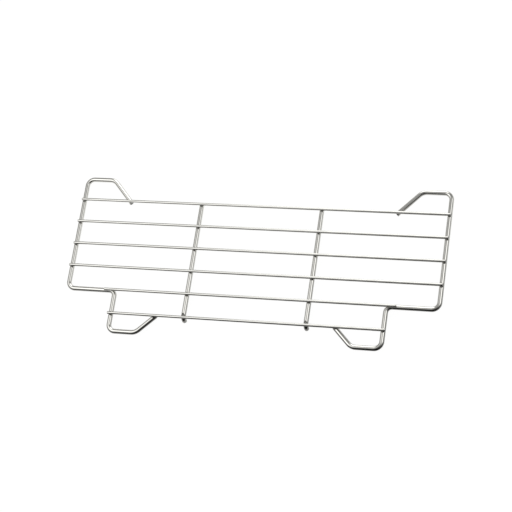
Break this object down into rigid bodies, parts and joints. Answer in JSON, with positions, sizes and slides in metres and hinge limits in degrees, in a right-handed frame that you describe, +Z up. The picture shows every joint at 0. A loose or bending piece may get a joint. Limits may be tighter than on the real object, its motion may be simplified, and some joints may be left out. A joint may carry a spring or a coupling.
{
  "type": "cooling rack",
  "caption": "Flat welded wire rack: straight long wires on bent end wires and mid bars, with corner loops, notched front corners and two small front hooks.",
  "frame": {"origin": "middle of the rack's footprint, level with the tips of the two front hooks", "axes": "+X along the long wires, +Y to the back (the side with the wider corner loops), +Z up, out of the side that food rests on"},
  "size_m": [0.4, 0.1728, 0.0119],
  "materials": {
    "frame_wire": "bright chrome plate on drawn steel wire",
    "long_wire": "bright chrome plate on drawn steel wire",
    "weld": "chrome plate over a resistance weld, a little duller than the wire"
  },
  "bodies": {
    "root": {"long_wire_1": "long_wire", "long_wire_2": "long_wire", "long_wire_3": "long_wire", "long_wire_4": "long_wire", "long_wire_5": "long_wire", "long_wire_6": "long_wire", "end_wire_left": "frame_wire", "end_wire_right": "frame_wire", "mid_bar_left": "frame_wire", "mid_bar_right": "frame_wire", "weld_row_1_end_left": "weld", "weld_row_2_end_left": "weld", "weld_row_3_end_left": "weld", "weld_row_4_end_left": "weld", "weld_row_5_end_left": "weld", "weld_row_6_end_left": "weld", "weld_row_1_mid_left": "weld", "weld_row_2_mid_left": "weld", "weld_row_3_mid_left": "weld", "weld_row_4_mid_left": "weld", "weld_row_5_mid_left": "weld", "weld_row_6_hook_left": "weld", "weld_back_loop_left": "weld", "weld_front_loop_left": "weld", "weld_row_1_end_right": "weld", "weld_row_2_end_right": "weld", "weld_row_3_end_right": "weld", "weld_row_4_end_right": "weld", "weld_row_5_end_right": "weld", "weld_row_6_end_right": "weld", "weld_row_1_mid_right": "weld", "weld_row_2_mid_right": "weld", "weld_row_3_mid_right": "weld", "weld_row_4_mid_right": "weld", "weld_row_5_mid_right": "weld", "weld_row_6_hook_right": "weld", "weld_back_loop_right": "weld", "weld_front_loop_right": "weld"}
  },
  "joints": []
}
